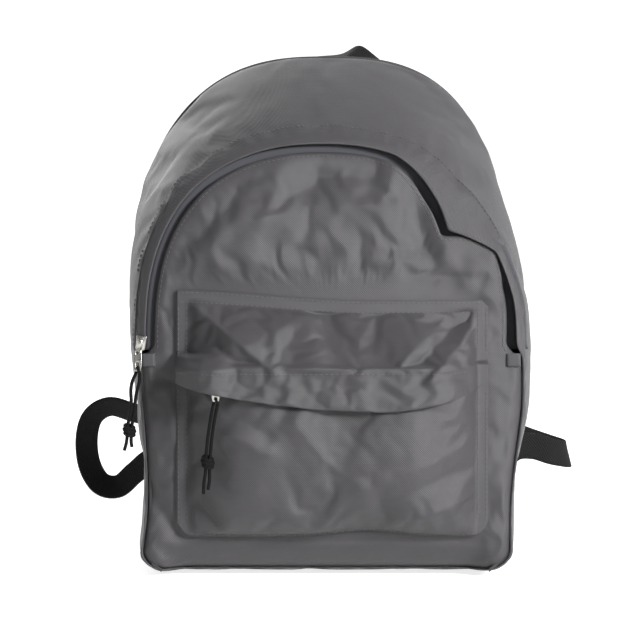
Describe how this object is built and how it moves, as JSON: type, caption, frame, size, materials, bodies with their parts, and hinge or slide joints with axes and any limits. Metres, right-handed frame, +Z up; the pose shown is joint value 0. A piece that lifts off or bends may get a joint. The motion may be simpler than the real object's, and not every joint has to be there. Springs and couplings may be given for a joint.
{
  "type": "daypack",
  "caption": "Fabric daypack with an arched zip opening, a front pocket under a storm flap, padded shoulder straps with webbing adjusters and a haul loop.",
  "frame": {"origin": "centre of the base's underside, on the floor the pack stands on", "axes": "+Z up; the front pocket faces -Y and the shoulder straps are on the +Y side; +X is to the right seen from the front"},
  "size_m": [0.3787, 0.198, 0.3806],
  "materials": {
    "grey_cloth": "coated polyester with a fine diagonal weave and a slight sheen",
    "lining_cloth": "thin plain lining cloth",
    "foam": "open foam sheet, matt",
    "zip_tape": "matt woven tape",
    "zip_coil": "moulded nylon coil",
    "black_webbing": "woven polypropylene webbing, matt",
    "black_cord": "braided cord, matt",
    "black_plastic": "moulded acetal, satin",
    "nickel": "plated zinc, slightly dull"
  },
  "bodies": {
    "root": {"gusset_arch": "grey_cloth", "gusset_left": "grey_cloth", "gusset_right": "grey_cloth", "base_panel": "grey_cloth", "back_panel": "grey_cloth", "front_panel_lower": "grey_cloth", "pocket_pouch": "grey_cloth", "pocket_hood": "grey_cloth", "strap_yoke": "grey_cloth", "base_tab_left": "grey_cloth", "base_tab_right": "grey_cloth", "back_lining": "lining_cloth", "back_binding": "lining_cloth", "front_binding_left": "lining_cloth", "front_binding_right": "lining_cloth", "back_foam": "foam", "zip_tape_gusset": "zip_tape", "zip_leg_left": "zip_tape", "zip_leg_right": "zip_tape", "zip_end_tab_left": "zip_tape", "zip_end_tab_right": "zip_tape", "pocket_tape_upper": "zip_tape", "pocket_tape_lower": "zip_tape", "zip_coil_gusset": "zip_coil", "pocket_coil_upper": "zip_coil", "pocket_coil_lower": "zip_coil", "webbing_left": "black_webbing", "webbing_right": "black_webbing"},
    "front_flap": {"front_panel_upper": "grey_cloth", "zip_coil_panel": "zip_coil", "zip_tape_panel": "zip_tape"},
    "main_slider": {"main_slider": "nickel"},
    "main_puller": {"main_puller": "nickel"},
    "main_cord": {"main_cord_a": "black_cord", "main_cord_b": "black_cord", "main_cord_knot": "black_cord"},
    "pocket_flap": {"pocket_flap": "grey_cloth"},
    "pocket_slider": {"pocket_slider": "nickel"},
    "pocket_puller": {"pocket_puller": "nickel"},
    "pocket_cord": {"pocket_cord_a": "black_cord", "pocket_cord_b": "black_cord", "pocket_cord_knot": "black_cord"},
    "haul_loop": {"haul_loop": "black_webbing"},
    "strap_left": {"strap_pad_left": "grey_cloth", "strap_facing_left": "black_webbing"},
    "ladderlock_left": {"ladderlock_left": "black_plastic"},
    "strap_right": {"strap_pad_right": "grey_cloth", "strap_facing_right": "black_webbing"},
    "ladderlock_right": {"ladderlock_right": "black_plastic"}
  },
  "joints": [
    {"name": "front_panel_fold", "type": "hinge", "parent": "root", "child": "front_flap", "pos_m": [0, -0.0518, 0.2123], "axis": [1, 0, 0], "range_deg": [0, 90]},
    {"name": "main_zip_slide", "type": "slide", "parent": "root", "child": "main_slider", "axis": [0.1365, 0.0964, 0.9859], "range_m": [0, 0.045]},
    {"name": "main_puller_swing", "type": "hinge", "parent": "main_slider", "child": "main_puller", "pos_m": [-0.134, -0.0576, 0.1635], "axis": [-1, 0, 0], "range_deg": [0, 100]},
    {"name": "main_cord_swing", "type": "hinge", "parent": "main_puller", "child": "main_cord", "pos_m": [-0.134, -0.0602, 0.149], "axis": [-1, 0, 0], "range_deg": [0, 70]},
    {"name": "pocket_flap_lift", "type": "hinge", "parent": "root", "child": "pocket_flap", "pos_m": [0.005, -0.094, 0.151], "axis": [-1, 0, 0], "range_deg": [0, 90]},
    {"name": "pocket_zip_slide", "type": "slide", "parent": "root", "child": "pocket_slider", "axis": [1, 0, 0], "range_m": [0, 0.165]},
    {"name": "pocket_puller_swing", "type": "hinge", "parent": "pocket_slider", "child": "pocket_puller", "pos_m": [-0.077, -0.0914, 0.1385], "axis": [-1, 0, 0], "range_deg": [0, 60]},
    {"name": "pocket_cord_swing", "type": "hinge", "parent": "pocket_puller", "child": "pocket_cord", "pos_m": [-0.077, -0.0914, 0.1318], "axis": [-1, 0, 0], "range_deg": [0, 30]},
    {"name": "haul_loop_flip", "type": "hinge", "parent": "root", "child": "haul_loop", "pos_m": [0.002, 0.0644, 0.3695], "axis": [1, 0, 0], "range_deg": [0, 75]},
    {"name": "strap_left_swing", "type": "hinge", "parent": "root", "child": "strap_left", "pos_m": [-0.042, 0.066, 0.346], "axis": [1, 0, 0], "range_deg": [0, 60]},
    {"name": "ladderlock_left_tilt", "type": "hinge", "parent": "strap_left", "child": "ladderlock_left", "pos_m": [-0.089, 0.078, 0.1425], "axis": [1, 0, 0], "range_deg": [0, 40]},
    {"name": "strap_right_swing", "type": "hinge", "parent": "root", "child": "strap_right", "pos_m": [0.042, 0.066, 0.346], "axis": [1, 0, 0], "range_deg": [0, 60]},
    {"name": "ladderlock_right_tilt", "type": "hinge", "parent": "strap_right", "child": "ladderlock_right", "pos_m": [0.089, 0.078, 0.1425], "axis": [1, 0, 0], "range_deg": [0, 40]}
  ]
}
